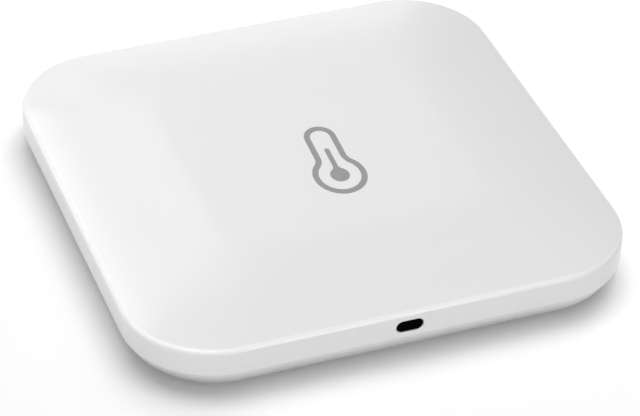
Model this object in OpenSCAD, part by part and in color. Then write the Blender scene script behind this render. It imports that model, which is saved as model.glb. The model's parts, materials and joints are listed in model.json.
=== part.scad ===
// Flat square sensor for temperature and humidity, run by one coin cell.
// It lies on its two foam pads: the origin is the middle of the underside, Z points up and the
// vent slot looks towards -Y. All lengths are in millimetres, all angles in degrees.

/* [Case] */
// Length of each side of the case
case_side = 64; // [58:0.5:80]
// Corner radius of the case, seen from above
case_corner = 11.3; // [9:0.1:15]
// Height of the band of the rear case that leans in
band_height = 2.3; // [2:0.05:3.2]
// How far the foot of that band stands in from its top
band_inset = 1.3; // [0.4:0.05:1.8]
// Corner radius at the foot of the band
foot_corner = 10.4; // [9:0.1:14]
// Height of the upright skirt of the cover
skirt_height = 3.05; // [2.9:0.05:4.5]
// Radius that turns the skirt's lower edge into the lean of the band
edge_radius = 0.6; // [0.3:0.1:2]
// Wall of the cover
cover_wall = 1.1; // [0.9:0.05:1.3]
// Floor of the rear case
floor_thickness = 1.2; // [1.1:0.1:1.6]
// Thickness of the lip that stands inside the skirt
lip_wall = 1; // [0.8:0.1:1.4]
// How far the lip stands up above the parting line
lip_height = 2; // [1.8:0.1:2.4]

/* [Crown] */
// Radius of the rounded rim
rim_radius = 0.75; // [0.6:0.05:1.6]
// Slope of the cover where it meets the rim
crown_angle = 16; // [8:0.5:18]
// Slope of the cover where it leaves the flat middle, which leaves a faint shoulder there
shoulder_angle = 2; // [0:0.5:4]
// Length of each side of the flat middle
plateau_side = 34; // [28:1:42]
// Corner radius of the flat middle
plateau_corner = 5; // [3:0.5:8]

/* [Vent] */
// Length of the vent slot
vent_length = 3.5; // [3:0.1:6]
// Height of the vent slot
vent_height = 1.7; // [1:0.1:1.8]
// How far the slot's middle lies below the top of the skirt
vent_drop = 1.35; // [1.3:0.05:1.6]
// Sideways place of the slot's middle
vent_x = 0.3; // [-6:0.05:6]
// How far the vent's filter stands back from the face of the skirt
vent_recess = 0.15; // [0.1:0.05:0.6]

/* [Battery] */
// Diameter of the coin cell
cell_diameter = 20; // [16:0.5:22]
// Thickness of the coin cell
cell_thickness = 3.2; // [2:0.1:3.6]
// Thickness of the door's outer flange
door_flange = 0.55; // [0.4:0.05:0.65]
// Thickness of the door under the cell
door_plate = 1.25; // [1:0.05:1.4]
// Wall of the door's collar and of the holder
collar_wall = 1; // [0.8:0.1:1.4]
// How far the door's lugs stand out of its collar
lug_reach = 1.4; // [1:0.1:1.8]
// Thickness of a lug
lug_thickness = 0.65; // [0.5:0.05:0.8]
// Width of a lug, as an angle
lug_width = 26; // [18:1:32]
// How far the door turns from locked to open
door_turn = 40; // [36:1:48]
// Number of lugs
lug_count = 3; // [2:1:3]
// Width of the coin slot in the door
coin_slot_width = 1.8; // [1.4:0.1:2.4]
// Length of the coin slot in the door
coin_slot_length = 15; // [10:0.5:18]
// Depth of the coin slot in the door
coin_slot_depth = 0.6; // [0.3:0.05:0.7]
// Thickness of the roof bars of the holder
roof_thickness = 0.6; // [0.4:0.05:0.8]
// Width of the roof bars of the holder
roof_width = 3; // [2:0.2:5]
// Thickness of the contact strips
strip_thickness = 0.15; // [0.1:0.01:0.2]
// Width of the contact strips
strip_width = 3; // [2:0.1:4]

/* [Board] */
// Thickness of the circuit board
board_thickness = 0.8; // [0.6:0.1:1]
// Gap between the floor and the board, where the switch sits
board_standoff = 1.3; // [1.2:0.05:1.6]
// Diameter of the screws' shanks
screw_diameter = 1.6; // [1.4:0.1:1.9]
// Diameter of the screws' heads
screw_head = 3; // [2.6:0.1:3.6]
// Height of the screws' heads
screw_head_height = 0.8; // [0.5:0.1:1]
// Width of the routed slots beside the sensor chip
routed_slot = 1.2; // [0.8:0.1:1.6]
// Length of the routed slots, from the edge of the board
routed_length = 6.5; // [4:0.5:9]
// Side of the sensor chip
sensor_side = 2.5; // [2:0.1:3]
// Height of the sensor chip
sensor_height = 0.9; // [0.6:0.1:1]
// Width of the radio module
module_width = 10.5; // [9:0.5:12]
// Length of the radio module
module_length = 15; // [13:0.5:17]
// Thickness of the radio module's board
module_thickness = 0.6; // [0.4:0.1:0.8]
// Height of the radio shield
shield_height = 1.2; // [0.8:0.1:1.4]

/* [Button] */
// Diameter of the pairing button
button_diameter = 4; // [3:0.2:5]
// Distance of the button's middle from the back of the case
button_inset = 10; // [9:0.5:11]
// Travel of the button
button_travel = 0.2; // [0.1:0.01:0.25]
// Height of the switch under the board
switch_height = 0.7; // [0.6:0.05:0.75]

/* [Pads] */
// Thickness of the foam pads
pad_thickness = 0.5; // [0.3:0.05:1]
// Width of a pad
pad_width = 9; // [6:0.5:10]
// Length of a pad
pad_length = 40; // [24:1:42]
// Distance of a pad's middle from the side of the case
pad_inset = 10.5; // [9:0.5:11]

/* [Hidden] */
$fn = 64;

// Clearances: between parts that turn or slide, between parts that are dropped in, and the gap
// between parts that must never touch
running = 0.08;
fit = 0.12;
clear = 0.3;
// Overshoot of a cut past the face that it opens, and how far a feature is sunk into its wall
cut = 1;
sink = 0.4;
// Steps of each rounded corner, of the skirt's lower edge, of the rim and of the crown
corner_steps = 16;
edge_steps = 4;
rim_steps = 6;
crown_steps = 8;

// Heights of the case, from the pads upwards
case_half = case_side / 2;
case_bottom = pad_thickness;
floor_top = case_bottom + floor_thickness;
parting = case_bottom + band_height;
skirt_top = parting + skirt_height;
// The skirt's lower edge turns inwards by the lean of the band, which starts flush with it
band_lean = atan(band_inset / band_height);
edge_inset = edge_radius * (1 - cos(band_lean));
band_half = case_half - edge_inset;
band_corner = case_corner - edge_inset;
foot_half = band_half - band_inset;
foot_edge = 0.3;

// The crown falls away from the flat middle at shoulder_angle and meets the rim at crown_angle,
// as a parabola
plateau_half = plateau_side / 2;
rim_inset = rim_radius * (1 - sin(crown_angle));
rim_half = case_half - rim_inset;
rim_corner = case_corner - rim_inset;
rim_top = skirt_top + rim_radius * cos(crown_angle);
crown_run = rim_half - plateau_half;
crown_rise = crown_run * (tan(shoulder_angle) + tan(crown_angle)) / 2;
plateau_top = rim_top + crown_rise;

// The inside of the cover, and the lip of the rear case that stands inside the skirt
inner_half = case_half - cover_wall;
inner_corner = case_corner - cover_wall;
inner_rim = 0.25;
inner_slope = crown_slope(inner_half - inner_rim);
roof_inset = inner_rim * (1 - sin(inner_slope));
roof_half = inner_half - roof_inset;
roof_corner = inner_corner - roof_inset;
inner_skirt_top = crown_z(roof_half) - cover_wall - inner_rim * cos(inner_slope);
lip_half = inner_half - fit;
lip_corner = inner_corner - fit;
lip_top = parting + lip_height;
well_half = lip_half - lip_wall;
well_corner = lip_corner - lip_wall;

// Snap hooks of the cover, which click into windows in the lip
hook_length = 6;
hook_depth = 0.5;
hook_height = 0.7;
hook_rise = 0.8;
hook_inset = 5.5;
hook_z = parting + hook_rise;
hook_place = case_half - case_corner - hook_inset;

// Vent slot, and the flange of its filter inside the skirt: wider than the slot, and less high
vent_z = skirt_top - vent_drop;
membrane_thickness = 0.2;
membrane_margin = 0.6;
membrane_step = 0.2;
membrane_back = inner_half - membrane_thickness;

// Heights of the door and of the cell on it, from below
flange_top = case_bottom + door_flange;
ledge_bottom = flange_top + running;
door_top = case_bottom + door_plate;
lug_bottom = floor_top + running;
lug_top = lug_bottom + lug_thickness;
cell_gap = 0.05;
cell_bottom = door_top + cell_gap;
cell_top = cell_bottom + cell_thickness;
// The cell's negative cap is narrower than its can, and its edges are rounded off
cap_step = 1.1;
cap_height = 0.3;
can_edge = 0.3;

// Radii of the cell, the door and its seat
cell_radius = cell_diameter / 2;
cell_play = 0.25;
flange_over = 0.4;
collar_inner = cell_radius + cell_play;
collar_outer = collar_inner + collar_wall;
seat_radius = collar_outer + running;
lug_radius = collar_outer + lug_reach;
notch_radius = lug_radius + clear;
flange_radius = lug_radius + flange_over;
counterbore_radius = flange_radius + running;

// Angles of the lugs' entries and of the stops at the ends of their travel
entry_play = 2;
stop_width = 5;
stop_play = 1.5;
stop_angle = lug_width / 2 + stop_play + stop_width / 2;

// Dots that show the locked and open places of the door
mark_radius = 0.5;
mark_depth = 0.15;
mark_gap = 1.6;

// Contact over the cell, and the roof of the holder over that
strip_lift = 0.15;
strip_bottom = cell_top + strip_lift;
strip_top = strip_bottom + strip_thickness;
roof_bottom = strip_top + fit;
roof_top = roof_bottom + roof_thickness;
dimple_radius = 1;
hub_radius = 4;
// Round rib of the cover that keeps the holder down
rib_radius = 6;
rib_wall = 1;

// Holder round the cell, with ears on the board and a peg through each
holder_bottom = lug_top + fit;
holder_outer = collar_outer;
ear_angles = [45, 135, 225, 315];
ear_length = 3;
ear_width = 4;
ear_height = 0.6;
peg_radius = 0.6;
peg_inset = 1.4;
ear_radius = holder_outer + ear_length;
peg_place = ear_radius - peg_inset;

// Legs and feet of the contacts, and the wiper on the side of the cell
leg_gap = 1.2;
foot_length = 2;
leg_x = holder_outer + leg_gap;
foot_x = leg_x + foot_length;
wiper_gap = 0.05;
wiper_margin = 0.4;
wiper_x = cell_radius + wiper_gap;
wiper_bottom = holder_bottom + fit;
wiper_top = cell_top - cap_height - wiper_margin;

// Circuit board, its screws and its locating pins, which take opposite corners
board_gap = 1;
board_bottom = floor_top + board_standoff;
board_top = board_bottom + board_thickness;
board_half = well_half - board_gap;
board_corner = well_corner - board_gap;
cell_hole = holder_outer + clear;
fixing_inset = 5.8;
fixing = board_half - fixing_inset;
post_radius = 2.2;
pin_radius = 0.9;
board_hole = 1;
pilot_floor = 0.5;
pilot_play = 0.05;
recess_width = 0.35;
recess_margin = 0.6;
recess_depth = 0.5;
support_radius = 1.2;
support_inset = 3.5;
support_x = board_half - support_inset;
support_y = 9;

// Sensor chip at the board's front edge and its foam hood, on the middle line of the vent slot
sensor_edge = 0.45;
sensor_dish = 0.75;
dish_depth = 0.25;
sensor_y = -(board_half - sensor_edge - sensor_side / 2);
hood_wall = 1.2;
hood_roof = 0.3;
hood_inner = max(sensor_side, vent_length) / 2 + clear;
hood_outer = hood_inner + hood_wall;
hood_back = sensor_y + sensor_side / 2 + clear + hood_wall;
hood_top = inner_skirt_top - running;
// Gap in the lip that lets the hood reach the skirt
lip_gap = 2 * (hood_outer + clear);

// Radio module along the -X edge of the board, beside the positive contact
module_margin = 0.8;
module_x = -(board_half - module_margin - module_width / 2);
module_front = strip_width / 2 + 2 * clear;
module_back = module_front + module_length;
module_top = board_top + module_thickness;
shield_inset = 0.5;
shield_corner = 0.6;
antenna_size = [7, 2, 1];
antenna_gap = 2;
shield_front = module_front + shield_inset;
shield_back = module_back - shield_inset - antenna_size[1] - antenna_gap;

// Other parts on the board
crystal_size = [3.2, 2.5, 0.7];
crystal_corner = 0.5;
memory_size = [5, 4, 0.9];
memory_legs = 4;
leg_pitch = 1.2;
leg_size = [6.4, 0.45, 0.25];
led_size = [1.6, 0.8, 0.6];
led_inset = 3;
chip_size = [1.6, 0.8, 0.5];
chip_pitch = 2.2;
capacitor_count = 6;
resistor_count = 5;
// Right-hand side of the board, where they stand in columns
column_inset = 5.5;
column_pitch = 3;
column_x = board_half - column_inset;

// Push switch under the board, the button below it
switch_size = [4, 3];
switch_bottom = board_bottom - switch_height;
stem_radius = 0.65;
stem_out = 0.2;
stem_in = 0.2;
stem_bottom = switch_bottom - stem_out;
stem_top = switch_bottom + stem_in;
button_y = case_half - button_inset;
button_radius = button_diameter / 2;
button_recess = 0.1;
button_flange = 0.2;
button_flange_over = 0.8;
button_gap = 0.02;
button_flange_bottom = floor_top + button_gap;
button_flange_top = button_flange_bottom + button_flange;

// Foam pads
pad_corner = 2;
pad_x = case_half - pad_inset;

function mix(a, b, t) = a + (b - a) * t;

// Points of a square with rounded corners, anticlockwise
function square_ring(half, radius) = [
    for (corner = [0:3])
        for (step = [0:corner_steps])
            let (angle = 90 * (corner + step / corner_steps))
            let (sign_x = corner == 0 || corner == 3 ? 1 : -1)
            let (sign_y = corner < 2 ? 1 : -1)
            [
                sign_x * (half - radius) + radius * cos(angle),
                sign_y * (half - radius) + radius * sin(angle)
            ]
];

// Slope of the crown on the ring of the given half side
function crown_slope(half) =
    atan(mix(tan(shoulder_angle), tan(crown_angle), (half - plateau_half) / crown_run));

// Height of the outer surface of the crown on that ring
function crown_z(half) =
    plateau_top - (half - plateau_half) * (tan(shoulder_angle) + tan(crown_slope(half))) / 2;

// Rings of the crown from the given ring in to the flat middle, lowered by drop
function crown_rings(half, corner, drop) = [
    for (step = [1:crown_steps])
        let (t = step / crown_steps)
        let (ring_half = mix(half, plateau_half, t))
        [ring_half, mix(corner, plateau_corner, t), crown_z(ring_half) - drop]
];

// Rings of the skirt's lower edge, from the lean of the band to upright
function edge_rings() = [
    for (step = [0:edge_steps])
        let (angle = band_lean * (1 - step / edge_steps))
        let (inset = edge_radius * (1 - cos(angle)))
        let (rise = edge_radius * (sin(band_lean) - sin(angle)))
        [case_half - inset, case_corner - inset, parting + rise]
];

// Rings of a rounded rim from upright to the given slope
function rim_rings(half, corner, radius, z, slope) = [
    for (step = [0:rim_steps])
        let (angle = (90 - slope) * step / rim_steps)
        let (inset = radius * (1 - cos(angle)))
        [half - inset, corner - inset, z + radius * sin(angle)]
];

// Solid through a stack of rounded squares, each given as half side, corner radius and height
module loft(rings) {
    count = 4 * (corner_steps + 1);
    last = len(rings) - 1;
    points = [
        for (ring = rings)
            for (point = square_ring(ring[0], ring[1]))
                [point[0], point[1], ring[2]]
    ];
    sides = [
        for (r = [0:last - 1])
            for (i = [0:count - 1])
                let (j = (i + 1) % count)
                let (low = r * count)
                let (high = low + count)
                each [[low + i, high + i, high + j], [low + i, high + j, low + j]]
    ];
    bottom = [for (i = [0:count - 1]) i];
    top = [for (i = [count - 1:-1:0]) last * count + i];
    polyhedron(points, concat(sides, [bottom, top]));
}

// Upright rounded square between two heights
module slab(half, radius, z0, z1) {
    translate([0, 0, z0])
        linear_extrude(z1 - z0)
            polygon(square_ring(half, radius));
}

// Disc between two heights
module disc(radius, z0, z1) {
    translate([0, 0, z0])
        cylinder(r = radius, h = z1 - z0);
}

// Tube between two heights
module tube(outer, inner, z0, z1) {
    difference() {
        disc(outer, z0, z1);
        disc(inner, z0 - cut, z1 + cut);
    }
}

// Box on the given height, centred on a point
module block(size, x, y, z) {
    translate([x - size[0] / 2, y - size[1] / 2, z])
        cube(size);
}

// Sector of a ring, centred on an angle
module sector(inner, outer, width, angle, z0, z1) {
    rotate([0, 0, angle - width / 2])
        translate([0, 0, z0])
            rotate_extrude(angle = width)
                translate([inner, 0])
                    square([outer - inner, z1 - z0]);
}

// Flat slot with round ends along X
module pill(length, width) {
    straight = length - width;
    square([straight, width], center = true);
    for (side = [-1, 1])
        translate([side * straight / 2, 0])
            circle(d = width);
}

// Flat rectangle with round corners
module rounded_rectangle(size, radius) {
    square([size[0] - 2 * radius, size[1]], center = true);
    square([size[0], size[1] - 2 * radius], center = true);
    for (x = [-1, 1])
        for (y = [-1, 1])
            translate([x * (size[0] / 2 - radius), y * (size[1] / 2 - radius)])
                circle(radius);
}

// Children at the four sides of the case, twice on each
module at_hooks() {
    for (turn = [0:90:270])
        for (side = [-1, 1])
            rotate([0, 0, turn])
                translate([inner_half, side * hook_place, hook_z])
                    children();
}

// Children at each lug's locked place
module at_lugs() {
    for (i = [0:lug_count - 1])
        rotate([0, 0, 90 + i * 360 / lug_count])
            children();
}

// Children at the two screws
module at_screws() {
    for (side = [-1, 1])
        translate([side * fixing, side * fixing, 0])
            children();
}

// Children at the two locating pins
module at_pins() {
    for (side = [-1, 1])
        translate([side * fixing, -side * fixing, 0])
            children();
}

// Children at the ears of the holder, with X pointing outwards
module at_ears() {
    for (angle = ear_angles)
        rotate([0, 0, angle])
            children();
}

// Crowned cover: two lofts, one inside the other, with the slot cut through the skirt
module top_cover() {
    color("white") {
        difference() {
            loft(concat(
                edge_rings(),
                rim_rings(case_half, case_corner, rim_radius, skirt_top, crown_angle),
                crown_rings(rim_half, rim_corner, 0)
            ));
            loft(concat(
                [[inner_half, inner_corner, parting - cut]],
                rim_rings(inner_half, inner_corner, inner_rim, inner_skirt_top, inner_slope),
                crown_rings(roof_half, roof_corner, cover_wall)
            ));
            translate([vent_x, -inner_half + cut, vent_z])
                rotate([90, 0, 0])
                    linear_extrude(cover_wall + 2 * cut)
                        pill(vent_length, vent_height);
        }
        at_hooks()
            rotate([90, 0, 0])
                translate([0, 0, -hook_length / 2])
                    linear_extrude(hook_length)
                        polygon([
                            [sink, 0], [0, 0], [-hook_depth, hook_height / 2],
                            [-hook_depth, hook_height], [sink, hook_height]
                        ]);
        tube(rib_radius, rib_radius - rib_wall, roof_top + fit, plateau_top - cover_wall + sink);
    }
}

// Rear case: leaning band, floor and lip, with the posts, the door's seat and the button's guide
module rear_case() {
    color("gainsboro")
        difference() {
            union() {
                difference() {
                    union() {
                        case_shell();
                        slab(lip_half, lip_corner, floor_top, lip_top);
                    }
                    slab(well_half, well_corner, floor_top, lip_top + cut);
                }
                board_posts();
                at_lugs()
                    for (angle = [stop_angle, -door_turn - stop_angle])
                        sector(seat_radius + clear, lug_radius, stop_width, angle,
                            (ledge_bottom + floor_top) / 2, lug_top);
            }
            // Windows for the snap hooks
            at_hooks()
                translate([-lip_wall - fit - cut, -hook_length / 2 - clear, -clear])
                    cube([lip_wall + fit + cut, hook_length + 2 * clear, hook_height + 2 * clear]);
            // Gap in the lip behind the vent slot
            translate([vent_x - lip_gap / 2, -case_half, parting])
                cube([lip_gap, case_half - well_half + cut, lip_height + cut]);
            // Pilot holes of the screws
            at_screws()
                disc(screw_diameter / 2 + pilot_play, case_bottom + pilot_floor, board_bottom + cut);
            door_seat();
            // Guide of the button
            translate([0, button_y, 0])
                disc(button_radius + running, case_bottom - cut, floor_top + cut);
            // Dots at the locked and open places of the door
            for (angle = [0, -door_turn])
                rotate([0, 0, angle - 90])
                    translate([flange_radius + mark_gap, 0, 0])
                        disc(mark_radius, case_bottom - cut, case_bottom + mark_depth);
        }
}

// Outside of the rear case, up to the parting line
module case_shell() {
    lean_out = foot_edge * tan(band_lean);
    loft([
        [foot_half - foot_edge, foot_corner - foot_edge, case_bottom],
        [foot_half + lean_out, foot_corner, case_bottom + foot_edge],
        [band_half, band_corner, parting]
    ]);
}

// Screw posts, locating pins on posts, and plain supports under the board
module board_posts() {
    at_screws()
        disc(post_radius, floor_top - sink, board_bottom);
    at_pins() {
        disc(post_radius, floor_top - sink, board_bottom);
        disc(pin_radius, floor_top, board_top + fit);
    }
    for (x = [-1, 1])
        for (y = [-1, 1])
            translate([x * support_x, y * support_y, 0])
                disc(support_radius, floor_top - sink, board_bottom);
}

// What the door's seat takes out of the floor: counterbore, opening and the lugs' entries
module door_seat() {
    disc(counterbore_radius, case_bottom - cut, ledge_bottom);
    disc(seat_radius, case_bottom, floor_top + cut);
    at_lugs()
        sector(collar_inner, notch_radius, lug_width + entry_play, -door_turn,
            flange_top, floor_top + clear);
}

// Bayonet door: flange outside, collar round the cell and lugs that ride on the floor
module battery_door() {
    color("gainsboro")
        difference() {
            union() {
                disc(flange_radius, case_bottom, flange_top);
                disc(collar_outer, case_bottom, lug_top);
                at_lugs()
                    sector(collar_outer - sink, lug_radius, lug_width, 0, lug_bottom, lug_top);
            }
            disc(collar_inner, door_top, lug_top + cut);
            translate([0, 0, case_bottom - cut])
                linear_extrude(coin_slot_depth + cut)
                    pill(coin_slot_length, coin_slot_width);
            translate([0, mark_gap - flange_radius, 0])
                disc(mark_radius, case_bottom - cut, case_bottom + mark_depth);
        }
}

module pairing_button() {
    color("darkgray")
        translate([0, button_y, 0]) {
            disc(button_radius, case_bottom + button_recess, button_flange_top);
            disc(button_radius + button_flange_over, button_flange_bottom, button_flange_top);
            disc(stem_radius, button_flange_bottom, stem_bottom);
        }
}

module mounting_pads() {
    color("lightgray")
        for (side = [-1, 1])
            translate([side * pad_x, 0, 0])
                linear_extrude(pad_thickness)
                    rounded_rectangle([pad_width, pad_length], pad_corner);
}

module circuit_board() {
    below = board_bottom - cut;
    above = board_top + cut;
    color("darkgreen")
        difference() {
            slab(board_half, board_corner, board_bottom, board_top);
            disc(cell_hole, below, above);
            at_screws()
                disc(board_hole, below, above);
            at_pins()
                disc(board_hole, below, above);
            at_ears()
                translate([peg_place, 0, 0])
                    disc(peg_radius + running, below, above);
            // Routed slots that keep the board's warmth from the sensor chip
            for (side = [-1, 1])
                block([routed_slot, 2 * routed_length, above - below],
                    vent_x + side * (hood_outer + routed_slot), -board_half, below);
        }
}

module board_screws() {
    head_top = board_top + screw_head_height;
    recess = [screw_head - 2 * recess_margin, recess_width, cut];
    color("silver")
        at_screws()
            difference() {
                union() {
                    disc(screw_diameter / 2, case_bottom + pilot_floor + fit, board_top);
                    disc(screw_head / 2, board_top, head_top);
                }
                for (turn = [0, 90])
                    rotate([0, 0, turn])
                        block(recess, 0, 0, head_top - recess_depth);
            }
}

// Ring round the cell with a cross over it, four ears on the board and ways out for the contacts
module battery_holder() {
    ear_size = [ear_length + sink, ear_width, ear_height];
    bar_size = [2 * collar_inner + collar_wall, roof_width, roof_thickness];
    way = strip_width + 2 * clear;
    color("dimgray")
        difference() {
            union() {
                tube(holder_outer, collar_inner, holder_bottom, roof_top);
                for (turn = [45, 135])
                    rotate([0, 0, turn])
                        block(bar_size, 0, 0, roof_bottom);
                disc(hub_radius, roof_bottom, roof_top);
                at_ears() {
                    block(ear_size, ear_radius - ear_size[0] / 2, 0, board_top);
                    translate([peg_place, 0, 0])
                        disc(peg_radius, board_bottom, board_top + ear_height / 2);
                }
            }
            translate([0, -way / 2, strip_bottom - clear])
                cube([holder_outer + cut, way, roof_bottom - strip_bottom + clear]);
            translate([-holder_outer - cut, -way / 2, holder_bottom - cut])
                cube([holder_outer + cut - cell_radius, way, wiper_top + clear - holder_bottom + cut]);
        }
}

module coin_cell() {
    shoulder = cell_top - cap_height;
    cap_radius = cell_radius - cap_step;
    color("lightsteelblue")
        rotate_extrude()
            polygon([
                [0, cell_bottom], [cell_radius - can_edge, cell_bottom],
                [cell_radius, cell_bottom + can_edge], [cell_radius, shoulder - can_edge],
                [cell_radius - can_edge, shoulder], [cap_radius, shoulder],
                [cap_radius - can_edge, cell_top], [0, cell_top]
            ]);
}

// Spring strip against the can, with a foot on the board
module positive_contact() {
    color("goldenrod")
        translate([0, -strip_width / 2, 0]) {
            translate([-wiper_x - strip_thickness, 0, wiper_bottom])
                cube([strip_thickness, strip_width, wiper_top - wiper_bottom]);
            translate([-foot_x, 0, board_top])
                cube([foot_x - wiper_x, strip_width, strip_thickness]);
        }
}

// Strip over the cap, bent down to a foot on the board, with a dimple that touches the cap
module negative_contact() {
    foot_top = board_top + strip_thickness;
    tail = -hub_radius / 2;
    color("goldenrod") {
        rotate([90, 0, 0])
            translate([0, 0, -strip_width / 2])
                linear_extrude(strip_width)
                    polygon([
                        [tail, strip_bottom], [leg_x - strip_thickness, strip_bottom],
                        [leg_x - strip_thickness, board_top], [foot_x, board_top],
                        [foot_x, foot_top], [leg_x, foot_top], [leg_x, strip_top], [tail, strip_top]
                    ]);
        disc(dimple_radius, cell_top, strip_bottom + strip_thickness / 2);
    }
}

module sensor_chip() {
    chip_top = board_top + sensor_height;
    color("black")
        difference() {
            block([sensor_side, sensor_side, sensor_height], vent_x, sensor_y, board_top);
            translate([vent_x, sensor_y, 0])
                disc(sensor_dish, chip_top - dish_depth, chip_top + cut);
        }
}

// Foam hood over the chip, open towards the vent slot
module sensor_gasket() {
    depth = membrane_back + hood_back;
    color("black")
        difference() {
            translate([vent_x - hood_outer, -membrane_back, board_top])
                cube([2 * hood_outer, depth, hood_top - board_top]);
            translate([vent_x - hood_inner, -membrane_back - cut, board_top - cut])
                cube([2 * hood_inner, depth - hood_wall + cut, hood_top - hood_roof - board_top + cut]);
        }
}

// Filter whose nose fills the slot, held by its flange between the skirt and the hood
module vent_membrane() {
    flange = [vent_length + 2 * membrane_margin, vent_height - 2 * membrane_step];
    color("black")
        translate([vent_x, -membrane_back, vent_z])
            rotate([90, 0, 0]) {
                linear_extrude(membrane_thickness)
                    square(flange, center = true);
                linear_extrude(case_half - vent_recess - membrane_back)
                    pill(vent_length - 2 * running, vent_height - 2 * running);
            }
}

module module_board() {
    color("darkblue")
        block([module_width, module_length, module_thickness],
            module_x, (module_front + module_back) / 2, board_top);
}

// Metal can with its corners notched where the sheet is folded down
module radio_shield() {
    size = [module_width - 2 * shield_inset, shield_back - shield_front];
    color("silver")
        translate([module_x, (shield_front + shield_back) / 2, module_top])
            linear_extrude(shield_height)
                difference() {
                    square(size, center = true);
                    for (x = [-1, 1])
                        for (y = [-1, 1])
                            translate([x * size[0] / 2, y * size[1] / 2])
                                rotate([0, 0, 45])
                                    square(shield_corner, center = true);
                }
}

module chip_antenna() {
    color("whitesmoke")
        block(antenna_size, module_x, module_back - shield_inset - antenna_size[1] / 2, module_top);
}

module crystal() {
    color("silver")
        translate([module_x, module_front - 2 * clear - crystal_size[1] / 2, board_top])
            linear_extrude(crystal_size[2])
                rounded_rectangle(crystal_size, crystal_corner);
}

// Chip body on two rows of legs
module memory_chip() {
    color("black") {
        block(memory_size, column_x, -support_y, board_top);
        for (i = [0:memory_legs - 1])
            block(leg_size, column_x, -support_y + (i - (memory_legs - 1) / 2) * leg_pitch, board_top);
    }
}

module status_led() {
    led_x = vent_x + hood_outer + 2 * routed_slot + led_inset;
    color("ivory")
        block(led_size, led_x, led_inset - board_half, board_top);
}

module chip_capacitors() {
    color("tan")
        for (i = [0:capacitor_count - 1])
            block(chip_size, column_x, (i - 1) * chip_pitch, board_top);
}

module chip_resistors() {
    color("darkslategray")
        for (i = [0:resistor_count - 1])
            block(chip_size, column_x - column_pitch, (i + 2) * chip_pitch, board_top);
}

module switch_body() {
    color("black")
        translate([0, button_y, 0])
            difference() {
                block([switch_size[0], switch_size[1], switch_height], 0, 0, switch_bottom);
                disc(stem_radius + running, switch_bottom - cut, stem_top + button_travel + running);
            }
}

module switch_stem() {
    color("white")
        translate([0, button_y, 0])
            disc(stem_radius, stem_bottom, stem_top);
}

top_cover();
rear_case();
battery_door();
pairing_button();
mounting_pads();
circuit_board();
board_screws();
battery_holder();
coin_cell();
positive_contact();
negative_contact();
sensor_chip();
sensor_gasket();
vent_membrane();
module_board();
radio_shield();
chip_antenna();
crystal();
memory_chip();
status_led();
chip_capacitors();
chip_resistors();
switch_body();
switch_stem();
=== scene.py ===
import json
import math

import bmesh
import bpy
from mathutils import Matrix, Vector

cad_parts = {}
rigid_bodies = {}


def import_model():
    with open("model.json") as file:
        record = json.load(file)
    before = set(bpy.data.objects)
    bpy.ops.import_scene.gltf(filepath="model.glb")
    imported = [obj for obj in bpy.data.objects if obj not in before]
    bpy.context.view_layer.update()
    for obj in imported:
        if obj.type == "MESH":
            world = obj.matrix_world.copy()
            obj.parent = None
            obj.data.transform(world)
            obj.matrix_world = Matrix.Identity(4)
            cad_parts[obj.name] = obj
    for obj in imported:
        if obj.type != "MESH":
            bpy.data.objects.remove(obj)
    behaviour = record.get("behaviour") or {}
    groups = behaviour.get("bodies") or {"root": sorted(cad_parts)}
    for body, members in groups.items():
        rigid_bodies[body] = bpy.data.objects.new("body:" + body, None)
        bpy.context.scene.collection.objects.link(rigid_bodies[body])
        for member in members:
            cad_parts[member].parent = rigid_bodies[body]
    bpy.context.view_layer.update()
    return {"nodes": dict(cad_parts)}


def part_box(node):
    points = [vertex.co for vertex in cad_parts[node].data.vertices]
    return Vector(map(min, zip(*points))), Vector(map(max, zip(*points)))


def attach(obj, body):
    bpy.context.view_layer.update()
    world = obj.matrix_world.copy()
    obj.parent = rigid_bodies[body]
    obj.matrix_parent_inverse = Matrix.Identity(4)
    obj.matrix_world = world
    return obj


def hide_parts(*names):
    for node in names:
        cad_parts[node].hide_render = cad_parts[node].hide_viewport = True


# Flat square sensor for temperature and humidity, dressed for a studio picture.
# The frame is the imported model's: metres, Z up, the vent slot towards -Y.

MM = 0.001
QUARTER_TURN = math.pi / 2
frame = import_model()
NODES = frame["nodes"]

# Cover, with the sizes of the solid that it stands for
COVER_LOW, COVER_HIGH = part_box("top_cover")
CASE_HALF = COVER_HIGH.x
CASE_CORNER = 11.3 * MM
PARTING = COVER_LOW.z
PLATEAU_TOP = COVER_HIGH.z
SKIRT_HEIGHT = 3.05 * MM
SKIRT_TOP = PARTING + SKIRT_HEIGHT
EDGE_RADIUS = 0.6 * MM
BAND_INSET = 1.3 * MM
BAND_HEIGHT = 2.3 * MM
BAND_LEAN = math.atan(BAND_INSET / BAND_HEIGHT)
COVER_WALL = 1.1 * MM
RIM_RADIUS = 0.75 * MM
INNER_RIM = 0.25 * MM
CROWN_ANGLE = math.radians(16)
SHOULDER_ANGLE = math.radians(2)
PLATEAU_HALF = 17 * MM
PLATEAU_CORNER = 5 * MM
SHOULDER_WIDTH = 0.6 * MM

# Steps of the cover's mesh: corners, skirt edge, rim and crown
CORNER_STEPS = 32
EDGE_STEPS = 8
RIM_STEPS = 14
CROWN_STEPS = 24

# Vent slot in the front of the skirt, with its rounded edge
VENT_LENGTH = 3.5 * MM
VENT_HEIGHT = 1.7 * MM
VENT_OFFSET = 0.3 * MM
VENT_DROP = 1.35 * MM
VENT_MIDDLE = Vector((VENT_OFFSET, -CASE_HALF, SKIRT_TOP - VENT_DROP))
VENT_EDGE = 0.1 * MM
VENT_STEPS = 24

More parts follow.
